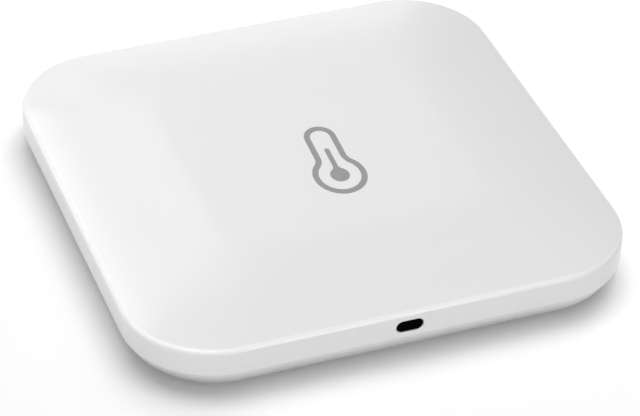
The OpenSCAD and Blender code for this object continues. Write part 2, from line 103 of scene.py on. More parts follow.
# Snap hooks (depth, length and height of each) and round rib inside the cover
HOOK_SIZE = Vector((0.5, 6, 0.7)) * MM
HOOK_RISE = 0.8 * MM
HOOK_INSET = 5.5 * MM
HOOK_PLACE = CASE_HALF - CASE_CORNER - HOOK_INSET
HOOK_SINK = 0.4 * MM
RIB_RADIUS = 6 * MM
RIB_WALL = 1 * MM
RIB_GAP = 0.12 * MM
RIB_STEPS = 64

# Thermometer sign on the flat middle: its bulb's middle, its lean and its sizes before the stretch
SIGN_PLACE = Vector((0.776, -6.731)) * MM
SIGN_LEAN = math.radians(2.63)
SIGN_STRETCH = 1.164
SIGN_STROKE = 0.768 * MM
TUBE_HALF = 2.053 * MM
TUBE_LENGTH = 6.975 * MM
BULB_RADIUS = 3.393 * MM
NECK_ROUND = 1.54 * MM
INNER_NECK_ROUND = 2.33 * MM
STEM_HALF = 0.325 * MM
STEM_LENGTH = 4.574 * MM
CORE_RADIUS = 1.207 * MM
CORE_ROUND = 0.883 * MM
INK_HEIGHT = 0.02 * MM
ARC_STEPS = 24

# Foam pads under the case
PAD_INNER = 17 * MM
PAD_CORNER = 2 * MM
PAD_ROUND = 0.16 * MM
PAD_STEPS = 10

# Foam hood over the sensor chip, open at the front and below
HOOD_WALL = 1.2 * MM
HOOD_ROOF = 0.3 * MM
HOOD_CORNER = 0.5 * MM
HOOD_ROUND = 0.12 * MM
HOOD_STEPS = 6
HOOD_CUT = 1 * MM

# Camera, fitted to the edges of the photographed case
CAMERA_YAW = math.radians(-21.337)
CAMERA_ELEVATION = math.radians(37.236)
CAMERA_ROLL = math.radians(1.742)
CAMERA_DISTANCE = 362.963 * MM
CAMERA_RIGHT = 0.653 * MM
CAMERA_UP = -5.435 * MM
LENS_MM = 161.596
SENSOR_MM = 36

# Studio: floor with an opening under the part's foot, which lets the underside be lit from below
FLOOR_HALF = 2.0
OPENING_INSET = 3.4 * MM
FLOOR_OPENING = CASE_HALF - OPENING_INSET
OPENING_CORNER = 8.3 * MM
FLOOR_WHITE = 0.8
FLOOR_GLOW = 0.135
WORLD_LIGHT = 0.25
UNDER_LIGHT = 0.8

# Softboxes: azimuth in degrees (0 is in front of the part, 90 on its right), elevation, side, watts
# and what they light. The floor's lamps throw the shadow to the front and the left. The part's own
# lamps brighten its walls and slopes there, and draw the light line along its rim.
LIGHT_DISTANCE = 0.8
LIGHTS = {
    "top_fill": (330, 65, 0.5, 1.72, "part"),
    "left_top": (285, 70, 0.6, 1.68, "part"),
    "front_low": (0, 10, 0.5, 0.8, "part"),
    "front_rim": (17, 15, 0.15, 0.74, "part"),
    "corner_rim": (264, 36, 0.25, 0.62, "part"),
    "left_rim": (219, 10, 0.15, 0.33, "part"),
    "left_gloss": (195, 34, 0.15, 0.17, "part"),
    "left_high": (207, 46, 0.3, 0.69, "part"),
    "corner_gloss": (182, 24, 0.2, 0.14, "part"),
    "back_low": (165, 10, 0.3, 0.21, "part"),
    "back_gloss": (165, 32, 0.3, 0.17, "part"),
    "back_high": (180, 44, 0.3, 0.33, "part"),
    "floor_side": (120, 45, 0.4, 0.86, "floor"),
    "floor_key": (150, 60, 0.4, 1.95, "floor"),
    "floor_right": (90, 75, 0.4, 1.51, "floor"),
    "floor_left": (210, 75, 0.4, 2.01, "floor"),
}

# Painted highlight along the cover's rounded rim, by how far its face looks up: where it starts and
# where it ends, and the share of the same lighter tone that clouds the rest at random
RIM_HIGHLIGHT_FROM = (0.4, 0.65)
RIM_HIGHLIGHT_TO = (0.9, 0.96)
CLOUD = 0.11

# Edge rounding of the CAD nodes: its width and steps, the angles of flat faces, sharp edges and
# smooth curves, and the nodes whose close edges leave no room for it
BEVEL_WIDTH = 0.02 * MM
BEVEL_SEGMENTS = 2
FLAT_ANGLE = math.radians(0.5)
BEVEL_ANGLE = math.radians(35)
SMOOTH_ANGLE = math.radians(30)
SHARP_NODES = ("battery_door", "battery_holder")
WELD_DISTANCE = 0.001 * MM

# Materials: refraction of the white plastic, spread of a grained surface's roughness, copper tracks
# to a cell of the board and the edge between lacquer and track, and the tin on the chips' ends and
# the distances from a chip's middle between which it starts
PLASTIC_IOR = 1.48
ROUGH_BELOW = 0.06
ROUGH_ABOVE = 0.08
TRACKS_PER_CELL = 8.0
TRACK_EDGE = (0.55, 0.62)
TIN = (0.62, 0.61, 0.58)
CHIP_END = (0.45 * MM, 0.5 * MM)


def new_object(name, data):
    """Put a mesh, a camera or a lamp into the scene as an object."""
    obj = bpy.data.objects.new(name, data)
    bpy.context.scene.collection.objects.link(obj)
    return obj


def mesh_object(name, bm):
    """Finish a bmesh with its normals pointing outwards, as an object."""
    bmesh.ops.recalc_face_normals(bm, faces=bm.faces)
    mesh = bpy.data.meshes.new(name)
    bm.to_mesh(mesh)
    bm.free()
    return new_object(name, mesh)


def arc(middle, radius, start, end, steps):
    """Points of a circle's arc, both ends included."""
    angles = [start + (end - start) * i / steps for i in range(steps + 1)]
    return [
        Vector((middle[0] + radius * math.cos(a), middle[1] + radius * math.sin(a)))
        for a in angles
    ]


def rounded_rectangle(half_x, half_y, radius, steps):
    """Outline of a rectangle with round corners, anticlockwise."""
    points = []
    for corner, (side_x, side_y) in enumerate(((1, 1), (-1, 1), (-1, -1), (1, -1))):
        middle = (side_x * (half_x - radius), side_y * (half_y - radius))
        start = QUARTER_TURN * corner
        points += arc(middle, radius, start, start + QUARTER_TURN, steps)
    return points


def loft(bm, rings, capped=True):
    """Skin a stack of rings of equally many points, and cap both ends if asked."""
    rows = [[bm.verts.new(point) for point in ring] for ring in rings]
    for low, high in zip(rows, rows[1:]):
        for i in range(len(low)):
            j = (i + 1) % len(low)
            bm.faces.new((low[i], low[j], high[j], high[i]))
    if capped:
        bm.faces.new(rows[0][::-1])
        bm.faces.new(rows[-1])


def smooth_by_angle(mesh, angle):
    """Shade a mesh smooth, apart from its sharp edges."""
    mesh.polygons.foreach_set("use_smooth", [True] * len(mesh.polygons))
    mesh.set_sharp_from_angle(angle=angle)


def weld(mesh):
    """Join points that lie on top of each other."""
    bm = bmesh.new()
    bm.from_mesh(mesh)
    bmesh.ops.remove_doubles(bm, verts=bm.verts, dist=WELD_DISTANCE)
    bm.to_mesh(mesh)
    bm.free()


def cut(obj, tool, operation):
    """Apply a boolean with another object, which is then removed."""
    modifier = obj.modifiers.new(operation, "BOOLEAN")
    modifier.operation = operation
    modifier.solver = "EXACT"
    modifier.object = tool
    depsgraph = bpy.context.evaluated_depsgraph_get()
    mesh = bpy.data.meshes.new_from_object(obj.evaluated_get(depsgraph))
    weld(mesh)
    obj.modifiers.clear()
    obj.data = mesh
    bpy.data.objects.remove(tool)


# Cover

def crown_slope(half):
    """Slope of the outer surface on the ring of the given half side."""
    run = CASE_HALF - RIM_RADIUS * (1 - math.sin(CROWN_ANGLE)) - PLATEAU_HALF
    shoulder, rim = math.tan(SHOULDER_ANGLE), math.tan(CROWN_ANGLE)
    return math.atan(shoulder + (rim - shoulder) * (half - PLATEAU_HALF) / run)


def crown_height(half):
    """Height of the outer surface on that ring."""
    mean_slope = (math.tan(SHOULDER_ANGLE) + math.tan(crown_slope(half))) / 2
    return PLATEAU_TOP - (half - PLATEAU_HALF) * mean_slope


def shell_rings(half, corner, bottom, radius, z, slope, drop):
    """Rings of one side of the cover, from its lower edge to its flat middle.

    Each ring is its half side, the radius of its corners and its height.
    """
    rings = list(bottom)
    for step in range(RIM_STEPS + 1):
        angle = (QUARTER_TURN - slope) * step / RIM_STEPS
        inset = radius * (1 - math.cos(angle))
        rings.append((half - inset, corner - inset, z + radius * math.sin(angle)))
    rim_half, rim_corner, _ = rings[-1]
    for step in range(1, CROWN_STEPS + 1):
        t = step / CROWN_STEPS
        ring_half = rim_half + (PLATEAU_HALF - rim_half) * t
        ring_corner = rim_corner + (PLATEAU_CORNER - rim_corner) * t
        rings.append((ring_half, ring_corner, crown_height(ring_half) - drop))
    flat_half, flat_corner = PLATEAU_HALF - SHOULDER_WIDTH, PLATEAU_CORNER - SHOULDER_WIDTH
    rings.append((flat_half, flat_corner, PLATEAU_TOP - drop))
    return rings


def outer_rings():
    """Outside of the cover, whose lower edge turns into the lean of the band below it."""
    bottom = []
    for step in range(EDGE_STEPS + 1):
        angle = BAND_LEAN * (1 - step / EDGE_STEPS)
        inset = EDGE_RADIUS * (1 - math.cos(angle))
        z = PARTING + EDGE_RADIUS * (math.sin(BAND_LEAN) - math.sin(angle))
        bottom.append((CASE_HALF - inset, CASE_CORNER - inset, z))
    return shell_rings(CASE_HALF, CASE_CORNER, bottom, RIM_RADIUS, SKIRT_TOP, CROWN_ANGLE, 0)


def inner_rings():
    """Inside of the cover, one wall in from the outside."""
    half = CASE_HALF - COVER_WALL
    corner = CASE_CORNER - COVER_WALL
    slope = crown_slope(half - INNER_RIM)
    roof_half = half - INNER_RIM * (1 - math.sin(slope))
    z = crown_height(roof_half) - COVER_WALL - INNER_RIM * math.cos(slope)
    return shell_rings(half, corner, [(half, corner, PARTING)], INNER_RIM, z, slope, COVER_WALL)


def square_ring(ring):
    """Points of a square ring with round corners at its height."""
    half, corner, z = ring
    return [Vector((p.x, p.y, z)) for p in rounded_rectangle(half, half, corner, CORNER_STEPS)]


def pill(length, height):
    """Outline of a slot with round ends, anticlockwise."""
    radius = height / 2
    straight = length / 2 - radius
    right = arc((straight, 0), radius, -QUARTER_TURN, QUARTER_TURN, VENT_STEPS)
    left = arc((-straight, 0), radius, QUARTER_TURN, 3 * QUARTER_TURN, VENT_STEPS)
    return right + left


def vent_cutter():
    """Solid of the vent slot that flares at the skirt, which leaves a rounded edge."""
    levels = [(VENT_EDGE, -COVER_WALL)]
    for step in range(EDGE_STEPS + 1):
        angle = QUARTER_TURN * step / EDGE_STEPS
        levels.append((VENT_EDGE * (1 - math.sin(angle)), VENT_EDGE * (1 - math.cos(angle))))
    levels.append((0, 2 * COVER_WALL))
    bm = bmesh.new()
    loft(bm, [
        [VENT_MIDDLE + Vector((p.x, depth, p.y))
         for p in pill(VENT_LENGTH + 2 * grow, VENT_HEIGHT + 2 * grow)]
        for grow, depth in levels
    ])
    return mesh_object("vent_cutter", bm)


def cover_hooks():
    """Wedges that snap into the rear case, two on each side of the cover."""
    depth, length, height = HOOK_SIZE
    inner = CASE_HALF - COVER_WALL
    bottom = PARTING + HOOK_RISE
    top = bottom + height
    profile = [
        (inner + HOOK_SINK, bottom), (inner + HOOK_SINK, top), (inner - depth, top),
        (inner - depth, bottom + height / 2), (inner, bottom),
    ]
    bm = bmesh.new()
    for turn in range(4):
        rotation = Matrix.Rotation(QUARTER_TURN * turn, 3, "Z")
        for side in (-1, 1):
            loft(bm, [
                [rotation @ Vector((x, side * HOOK_PLACE + end * length / 2, z))
                 for x, z in profile]
                for end in (-1, 1)
            ])
    return mesh_object("cover_hooks", bm)


def cover_rib():
    """Round rib under the middle of the cover that keeps the battery holder down."""
    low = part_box("battery_holder")[1].z + RIB_GAP
    high = PLATEAU_TOP - COVER_WALL / 2
    bm = bmesh.new()
    inner = RIB_RADIUS - RIB_WALL
    walls = [(RIB_RADIUS, low), (RIB_RADIUS, high), (inner, high), (inner, low)]
    turn = 2 * math.pi / RIB_STEPS
    rows = [
        [bm.verts.new((r * math.cos(turn * i), r * math.sin(turn * i), z))
         for i in range(RIB_STEPS)]
        for r, z in walls
    ]
    for low_row, high_row in zip(rows, rows[1:] + rows[:1]):
        for i in range(RIB_STEPS):
            j = (i + 1) % RIB_STEPS
            bm.faces.new((low_row[i], low_row[j], high_row[j], high_row[i]))
    return mesh_object("cover_rib", bm)


def cover_shell():
    """Crowned cover as one closed shell, with its vent slot, hooks and rib."""
    bm = bmesh.new()
    loft(bm, [square_ring(ring) for ring in inner_rings()[::-1] + outer_rings()])
    cover = mesh_object("cover_shell", bm)
    cut(cover, vent_cutter(), "DIFFERENCE")
    cut(cover, cover_hooks(), "UNION")
    cut(cover, cover_rib(), "UNION")
    smooth_by_angle(cover.data, SMOOTH_ANGLE)
    return cover


# Sign

def bulb_outline(tube, length, bulb, neck):
    """Outline of a round-topped tube that stands on a bulb, with rounded necks, anticlockwise."""
    neck_y = math.sqrt((bulb + neck) ** 2 - (tube + neck) ** 2)
    lean = math.atan2(neck_y, tube + neck)
    points = arc((0, length), tube, 0, math.pi, ARC_STEPS)
    points += arc((-tube - neck, neck_y), neck, 0, -lean, ARC_STEPS)
    points += arc((0, 0), bulb, math.pi - lean, 2 * math.pi + lean, 3 * ARC_STEPS)[1:-1]
    points += arc((tube + neck, neck_y), neck, math.pi + lean, math.pi, ARC_STEPS)
    return points


def sign_point(point, z):
    """Place a point of the sign on the cover."""
    flat = Vector((point.x, point.y * SIGN_STRETCH))
    flat.rotate(Matrix.Rotation(-SIGN_LEAN, 2))
    return Vector((SIGN_PLACE.x + flat.x, SIGN_PLACE.y + flat.y, z))


def thermometer_sign():
    """Printed thermometer: an outlined bulb with a stem and a core inside."""
    inner_tube, inner_bulb = TUBE_HALF - SIGN_STROKE, BULB_RADIUS - SIGN_STROKE
    band = [
        bulb_outline(TUBE_HALF, TUBE_LENGTH, BULB_RADIUS, NECK_ROUND),
        bulb_outline(inner_tube, TUBE_LENGTH, inner_bulb, INNER_NECK_ROUND),
    ]
    core = bulb_outline(STEM_HALF, STEM_LENGTH, CORE_RADIUS, CORE_ROUND)
    low, high = PLATEAU_TOP, PLATEAU_TOP + INK_HEIGHT
    bm = bmesh.new()
    outer_low, inner_low, outer_high, inner_high = (
        [bm.verts.new(sign_point(p, z)) for p in outline] for z in (low, high) for outline in band
    )
    walls = (outer_low, outer_high, inner_high, inner_low, outer_low)
    count = len(outer_low)
    for i in range(count):
        j = (i + 1) % count
        for a, b in zip(walls, walls[1:]):
            bm.faces.new((a[i], a[j], b[j], b[i]))
    loft(bm, [[sign_point(p, z) for p in core] for z in (low, high)])
    return mesh_object("thermometer_sign", bm)


# Foam

def foam_pad(name, side):
    """Foam strip with soft edges, where the CAD has a plain pad."""
    low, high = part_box("mounting_pads")
    half_y = high.y
    middle_x = side * (high.x + PAD_INNER) / 2
    half_x = (high.x - PAD_INNER) / 2
    rings = []
    for step in range(PAD_STEPS + 1):
        angle = math.pi * step / PAD_STEPS - QUARTER_TURN
        inset = PAD_ROUND * (1 - math.cos(angle))
        z = (low.z + high.z) / 2 + (high.z - low.z) / 2 * math.sin(angle)
        outline = rounded_rectangle(half_x - inset, half_y - inset, PAD_CORNER - inset, PAD_STEPS)
        rings.append([Vector((middle_x + p.x, p.y, z)) for p in outline])
    bm = bmesh.new()
    loft(bm, rings)
    pad = mesh_object(name, bm)
    smooth_by_angle(pad.data, SMOOTH_ANGLE)
    return pad


def foam_hood():
    """Foam hood with soft edges between the sensor chip and the vent."""
    low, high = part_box("sensor_gasket")
    middle = (low + high) / 2
    half = (high - low) / 2
    rings = [(0, low.z), (0, high.z - HOOD_ROUND)]
    for step in range(1, HOOD_STEPS + 1):
        angle = QUARTER_TURN * step / HOOD_STEPS
        inset = HOOD_ROUND * (1 - math.cos(angle))
        rings.append((inset, high.z - HOOD_ROUND * (1 - math.sin(angle))))
    bm = bmesh.new()
    loft(bm, [
        [Vector((middle.x + p.x, middle.y + p.y, z)) for p in
         rounded_rectangle(half.x - inset, half.y - inset, HOOD_CORNER - inset, HOOD_STEPS)]
        for inset, z in rings
    ])
    hood = mesh_object("foam_hood", bm)
    bm = bmesh.new()
    inside = half.x - HOOD_WALL
    loft(bm, [
        [Vector((middle.x + x, y, z)) for x, y in (
            (-inside, low.y - HOOD_CUT), (inside, low.y - HOOD_CUT),
            (inside, high.y - HOOD_WALL), (-inside, high.y - HOOD_WALL),
        )]
        for z in (low.z - HOOD_CUT, high.z - HOOD_ROOF)
    ])
    cut(hood, mesh_object("hood_cutter", bm), "DIFFERENCE")
    smooth_by_angle(hood.data, SMOOTH_ANGLE)
    return hood


# Materials

class Finish:
    """Material with one principled shader, grown node by node."""

    # Sockets of a Mix node that hold colours; their names are those of the sockets for numbers too
    MIX_FIRST, MIX_SECOND, MIX_RESULT = 6, 7, 2

    def __init__(self, name, colour, roughness, sockets=None):
        self.material = bpy.data.materials.new(name)
        self.material.use_nodes = True
        self.tree = self.material.node_tree
        self.shader = self.tree.nodes["Principled BSDF"]
        self.shader.inputs["Base Color"].default_value = (*colour, 1)
        self.shader.inputs["Roughness"].default_value = roughness
        for socket, value in (sockets or {}).items():
            self.shader.inputs[socket].default_value = value
        coordinates = self.add("ShaderNodeTexCoord").outputs
        self.place, self.facing = coordinates["Object"], coordinates["Normal"]
        self.normal = None

    def add(self, kind, inputs=None, **settings):
        """New node with its settings and its plain or linked inputs."""
        node = self.tree.nodes.new(kind)
        for name, value in settings.items():
            setattr(node, name, value)
        for name, value in (inputs or {}).items():
            self.put(node.inputs[name], value)
        return node

    def put(self, socket, value):
        """Link a socket, or set its value."""
        if isinstance(value, bpy.types.NodeSocket):
            self.tree.links.new(value, socket)
        else:
            socket.default_value = value

    def stretched(self, scale):
        """Place scaled differently along each axis, for drawn or brushed grain."""
        return self.add("ShaderNodeMapping", {"Vector": self.place, "Scale": scale}).outputs[0]

    def noise(self, size, detail=3, vector=None):
        """Noise with features of about the given size."""
        inputs = {"Vector": vector or self.place, "Scale": 1 / size, "Detail": detail}
        return self.add("ShaderNodeTexNoise", inputs).outputs[0]

    def cells(self, size, **settings):
        """Distance field of cells of about the given size."""
        inputs = {"Vector": self.place, "Scale": 1 / size}
        return self.add("ShaderNodeTexVoronoi", inputs, **settings).outputs["Distance"]

    def maths(self, operation, *values):
        """Result of an operation on one or two values."""
        inputs = dict(enumerate(values))
        return self.add("ShaderNodeMath", inputs, operation=operation).outputs[0]

    def span(self, value, low, high, start=0.0, end=1.0):
        """Map a value from one span to another."""
        inputs = {"Value": value, "From Min": start, "From Max": end, "To Min": low, "To Max": high}
        return self.add("ShaderNodeMapRange", inputs).outputs[0]

    def tint(self, value, first, second):
        """Colour the surface between two tones."""
        mix = self.add("ShaderNodeMix", data_type="RGBA")
        self.put(mix.inputs["Factor"], value)
        self.put(mix.inputs[self.MIX_FIRST], (*first, 1))
        self.put(mix.inputs[self.MIX_SECOND], (*second, 1))
        self.put(self.shader.inputs["Base Color"], mix.outputs[self.MIX_RESULT])

    def rough(self, value, low, high):
        """Vary the roughness between two values."""
        self.put(self.shader.inputs["Roughness"], self.span(value, low, high))

    def rough_grain(self, value, roughness):
        """Vary the roughness about its mean."""
        self.rough(value, roughness - ROUGH_BELOW, roughness + ROUGH_ABOVE)

    def bump(self, height, depth):
        """Add a layer of relief of the given depth."""
        inputs = {"Height": height, "Distance": depth, "Strength": 1.0}
        if self.normal:
            inputs["Normal"] = self.normal
        self.normal = self.add("ShaderNodeBump", inputs).outputs[0]
        self.put(self.shader.inputs["Normal"], self.normal)


def grey(value):
    """Neutral colour."""
    return (value, value, value)


def shades(colour, dark, light):
    """Two tones of a colour, given as shares of it."""
    return [c * dark for c in colour], [min(1.0, c * light) for c in colour]


def cover_white():
    """Satin moulded plastic with a very fine grain, and a painted highlight along its rounded rim.
    """
    finish = Finish("cover_white", grey(0.8), 0.2, {"IOR": PLASTIC_IOR})
    # Painted highlight: the colour is lighter on the rounded rim, between the upright wall and the
    # crown
    up = finish.add("ShaderNodeSeparateXYZ", {0: finish.facing}).outputs["Z"]
    below, above = finish.span(up, 0, 1, *RIM_HIGHLIGHT_FROM), finish.span(up, 1, 0, *RIM_HIGHLIGHT_TO)
    edge = finish.maths("MULTIPLY", below, above)
    cloud = finish.span(finish.noise(6 * MM), 0, CLOUD)
    finish.tint(finish.maths("ADD", edge, cloud), grey(0.795), grey(0.885))
    finish.rough(finish.noise(2.5 * MM), 0.18, 0.22)
    finish.bump(finish.noise(0.09 * MM), 0.0012 * MM)
    return finish.material


def case_white():
    """Moulded plastic with a spark-eroded grain."""
    finish = Finish("case_white", grey(0.78), 0.5, {"IOR": PLASTIC_IOR})
    finish.tint(finish.noise(5 * MM), grey(0.77), grey(0.785))
    finish.rough(finish.noise(1.5 * MM), 0.45, 0.55)
    finish.bump(finish.noise(0.14 * MM, 4), 0.004 * MM)
    return finish.material


def button_grey():
    """Smooth grey plastic with a slightly uneven tone and roughness."""
    finish = Finish("button_grey", (0.3, 0.31, 0.32), 0.4)
    finish.tint(finish.noise(1.2 * MM), (0.28, 0.29, 0.3), (0.32, 0.33, 0.34))
    finish.rough(finish.noise(0.8 * MM), 0.32, 0.48)
    finish.bump(finish.noise(0.07 * MM), 0.002 * MM)
    return finish.material


def foam(name, dark, light, cell):
    """Closed-cell foam: a skin of small cells."""
    finish = Finish(name, light, 0.9)
    cells = finish.cells(cell)
    finish.tint(cells, dark, light)
    finish.rough(finish.noise(cell * 4), 0.82, 0.96)
    finish.bump(cells, cell * 0.15)
    finish.bump(finish.noise(cell / 3), cell * 0.05)
    return finish.material


def solder_resist(name, resist, track, size):
    """Lacquered laminate with copper tracks that show through the lacquer."""
    finish = Finish(name, resist, 0.3, {"Coat Weight": 0.4, "Coat Roughness": 0.15})
    tracks = finish.cells(size, feature="F2", distance="CHEBYCHEV")
    bands = finish.maths("FRACT", finish.maths("MULTIPLY", tracks, TRACKS_PER_CELL))
    copper = finish.span(bands, 0, 1, *TRACK_EDGE)
    finish.tint(copper, resist, track)
    finish.rough(finish.noise(0.6 * MM), 0.25, 0.38)
    finish.bump(copper, 0.02 * MM)
    finish.bump(finish.noise(0.1 * MM), 0.002 * MM)
    return finish.material


def brushed(name, colour, grain, roughness):
    """Metal with a grain, which is given as a stretch of the noise along each axis."""
    finish = Finish(name, colour, roughness, {"Metallic": 1.0})
    lines = finish.noise(0.05 * MM, 2, finish.stretched(grain))
    finish.tint(lines, *shades(colour, 0.92, 1.05))
    finish.rough_grain(lines, roughness)
    finish.bump(lines, 0.002 * MM)
    return finish.material


def turned_steel(name, colour):
    """Metal polished in circles round the part's axis."""
    finish = Finish(name, colour, 0.3, {"Metallic": 1.0})
    flat = finish.stretched((1, 1, 0))
    radius = finish.add("ShaderNodeVectorMath", {0: flat}, operation="LENGTH").outputs["Value"]
    rings = finish.add("ShaderNodeCombineXYZ", {"X": radius}).outputs[0]
    lines = finish.noise(0.06 * MM, 2, rings)
    finish.tint(lines, *shades(colour, 0.93, 1.04))
    finish.rough(lines, 0.24, 0.38)
    finish.bump(lines, 0.002 * MM)
    return finish.material


def moulded(name, dark, light, roughness, grain):
    """Plain moulded plastic or chip body with a fine grain."""
    finish = Finish(name, light, roughness)
    finish.tint(finish.noise(grain * 6), dark, light)
    finish.rough_grain(finish.noise(grain * 3), roughness)
    finish.bump(finish.noise(grain), grain * 0.04)
    return finish.material


def chip(name, body, column_x):
    """Ceramic chips with tinned ends, in a column at the given place."""
    finish = Finish(name, body, 0.5)
    x = finish.add("ShaderNodeSeparateXYZ", {0: finish.place}).outputs["X"]
    away = finish.maths("ABSOLUTE", finish.maths("SUBTRACT", x, column_x))
    ends = finish.span(away, 0, 1, *CHIP_END)
    finish.tint(ends, body, TIN)
    finish.put(finish.shader.inputs["Metallic"], ends)
    finish.rough(finish.noise(0.2 * MM), 0.35, 0.6)
    finish.bump(finish.noise(0.08 * MM), 0.006 * MM)
    return finish.material


def porous(name, dark, light, grain):
    """Black filter of sintered grains, whose pores swallow the light."""
    finish = Finish(name, light, 0.9, {"Specular IOR Level": 0.02})
    grains = finish.cells(grain)
    finish.tint(grains, light, dark)
    finish.rough(finish.noise(grain * 3), 0.85, 0.98)
    finish.bump(grains, grain * 0.3)
    return finish.material


def ink():
    """Grey pad-printed ink with a slightly uneven film."""
    finish = Finish("ink_grey", grey(0.28), 0.45)
    finish.tint(finish.noise(0.5 * MM), grey(0.27), grey(0.29))
    finish.rough(finish.noise(0.3 * MM), 0.4, 0.52)
    finish.bump(finish.noise(0.12 * MM), 0.002 * MM)
    return finish.material


def middle_x(node):
    """Middle of a node along X."""
    low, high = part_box(node)
    return (low.x + high.x) / 2


def resin():
    """Cast resin of the indicator."""
    finish = Finish("led_clear", (0.8, 0.78, 0.6), 0.15, {"Transmission Weight": 0.5})
    finish.tint(finish.noise(0.4 * MM), (0.78, 0.76, 0.55), (0.84, 0.82, 0.68))
    finish.rough(finish.noise(0.2 * MM), 0.12, 0.25)
    finish.bump(finish.noise(0.1 * MM), 0.003 * MM)
    return finish.material


def node_materials():
    """Material of every CAD node that shows."""
    black_plastic = moulded("black_plastic", grey(0.02), grey(0.035), 0.5, 0.1 * MM)
    chip_black = moulded("chip_black", grey(0.012), grey(0.022), 0.55, 0.06 * MM)
    case = case_white()
    tin = brushed("shield_tin", (0.72, 0.72, 0.7), (1, 0.05, 1), 0.35)
    nickel = brushed("contact_nickel", (0.7, 0.66, 0.58), (0.05, 1, 1), 0.3)
    return {
        "rear_case": case,
        "battery_door": case,
        "pairing_button": button_grey(),
        "circuit_board": solder_resist(
            "board_green", (0.015, 0.1, 0.035), (0.04, 0.19, 0.06), 4 * MM),
        "board_screws": turned_steel("screw_steel", grey(0.6)),
        "battery_holder": black_plastic,
        "coin_cell": turned_steel("cell_steel", (0.7, 0.7, 0.69)),
        "positive_contact": nickel,
        "negative_contact": nickel,
        "sensor_chip": chip_black,
        "vent_membrane": porous("vent_black", grey(0.0004), grey(0.0012), 0.12 * MM),
        "module_board": solder_resist("module_blue", (0.012, 0.03, 0.1), (0.03, 0.07, 0.2), 2 * MM),
        "radio_shield": tin,
        "chip_antenna": moulded(
            "ceramic_white", (0.8, 0.79, 0.75), (0.86, 0.85, 0.81), 0.6, 0.08 * MM),
        "crystal": tin,
        "memory_chip": chip_black,
        "status_led": resin(),
        "chip_capacitors": chip("capacitor_tan", (0.42, 0.28, 0.15), middle_x("chip_capacitors")),
        "chip_resistors": chip("resistor_black", grey(0.02), middle_x("chip_resistors")),
        "switch_body": black_plastic,
        "switch_stem": moulded(
            "stem_white", (0.76, 0.76, 0.74), (0.82, 0.82, 0.8), 0.45, 0.08 * MM),
    }


def smoothing_group():
    """Modifier that smooths a solid's curved faces and keeps its sharp edges."""
    group = bpy.data.node_groups.new("smooth_by_angle", "GeometryNodeTree")
    group.interface.new_socket("Geometry", in_out="INPUT", socket_type="NodeSocketGeometry")
    group.interface.new_socket("Geometry", in_out="OUTPUT", socket_type="NodeSocketGeometry")
    source = group.nodes.new("NodeGroupInput")
    result = group.nodes.new("NodeGroupOutput")
    plain = group.nodes.new("GeometryNodeRemoveAttribute")
    plain.inputs["Name"].default_value = "custom_normal"
    faces = group.nodes.new("GeometryNodeSetShadeSmooth")
    edges = group.nodes.new("GeometryNodeSetShadeSmooth")
    edges.domain = "EDGE"
    edges.inputs["Shade Smooth"].default_value = False
    angle = group.nodes.new("GeometryNodeInputMeshEdgeAngle")
    sharp = group.nodes.new("FunctionNodeCompare")
    sharp.operation = "GREATER_THAN"
    sharp.inputs["B"].default_value = SMOOTH_ANGLE
    for start, end in (
        (source.outputs[0], plain.inputs["Geometry"]),
        (plain.outputs[0], faces.inputs["Geometry"]),
        (faces.outputs[0], edges.inputs["Geometry"]),
        (angle.outputs["Unsigned Angle"], sharp.inputs["A"]),
        (sharp.outputs[0], edges.inputs["Selection"]),
        (edges.outputs[0], result.inputs[0]),
    ):
        group.links.new(start, end)
    return group


def dress(obj, material):
    """Give an object one material."""
    obj.data.materials.clear()
    obj.data.materials.append(material)


def dress_nodes():
    """Finish the CAD nodes: joined faces, rounded edges, smooth curves and materials."""
    group = smoothing_group()
    for name, material in node_materials().items():
        obj = NODES[name]
        dress(obj, material)
        obj.modifiers.new("joined_faces", "WELD").merge_threshold = WELD_DISTANCE
        if name not in SHARP_NODES:
            flat = obj.modifiers.new("flat_faces", "DECIMATE")
            flat.decimate_type = "DISSOLVE"
            flat.angle_limit = FLAT_ANGLE
            bevel = obj.modifiers.new("edges", "BEVEL")
            bevel.width = BEVEL_WIDTH
            bevel.segments = BEVEL_SEGMENTS
            bevel.limit_method = "ANGLE"
            bevel.angle_limit = BEVEL_ANGLE
            bevel.use_clamp_overlap = False
            obj.modifiers.new("collapsed_faces", "WELD").merge_threshold = WELD_DISTANCE
        obj.modifiers.new("smooth", "NODES").node_group = group


def add_pieces():
    """Pieces that stand for CAD nodes or lie on them."""
    cover = cover_shell()
    dress(cover, cover_white())
    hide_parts("top_cover")
    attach(cover, "housing")
    sign = thermometer_sign()
    dress(sign, ink())
    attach(sign, "housing")
    pad_material = foam("pad_foam", grey(0.42), grey(0.6), 0.3 * MM)
    for name, side in (("foam_pad_left", -1), ("foam_pad_right", 1)):
        pad = foam_pad(name, side)
        dress(pad, pad_material)
        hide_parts("mounting_pads")
        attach(pad, "housing")
    hood = foam_hood()
    dress(hood, foam("black_foam", grey(0.004), grey(0.014), 0.12 * MM))
    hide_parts("sensor_gasket")
    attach(hood, "housing")


# Studio

def camera_axes():
    """Right, up and backward directions of the camera."""
    across = math.cos(CAMERA_ELEVATION)
    back = Vector((
        math.sin(CAMERA_YAW) * across,
        -math.cos(CAMERA_YAW) * across,
        math.sin(CAMERA_ELEVATION),
    ))
    right = Vector((math.cos(CAMERA_YAW), math.sin(CAMERA_YAW), 0))
    up = back.cross(right)
    turn = Matrix.Rotation(CAMERA_ROLL, 3, back)
    return turn @ right, turn @ up, back


def add_camera():
    """Camera at the photograph's viewing angle."""
    right, up, back = camera_axes()
    data = bpy.data.cameras.new("camera")
    data.lens = LENS_MM
    data.sensor_width = SENSOR_MM
    data.sensor_fit = "HORIZONTAL"
    camera = new_object("camera", data)
    place = Vector((0, 0, SKIRT_TOP)) + back * CAMERA_DISTANCE
    place = place + right * CAMERA_RIGHT + up * CAMERA_UP
    facing = Matrix((right, up, back)).transposed().to_4x4()
    camera.matrix_world = Matrix.Translation(place) @ facing
    bpy.context.scene.camera = camera


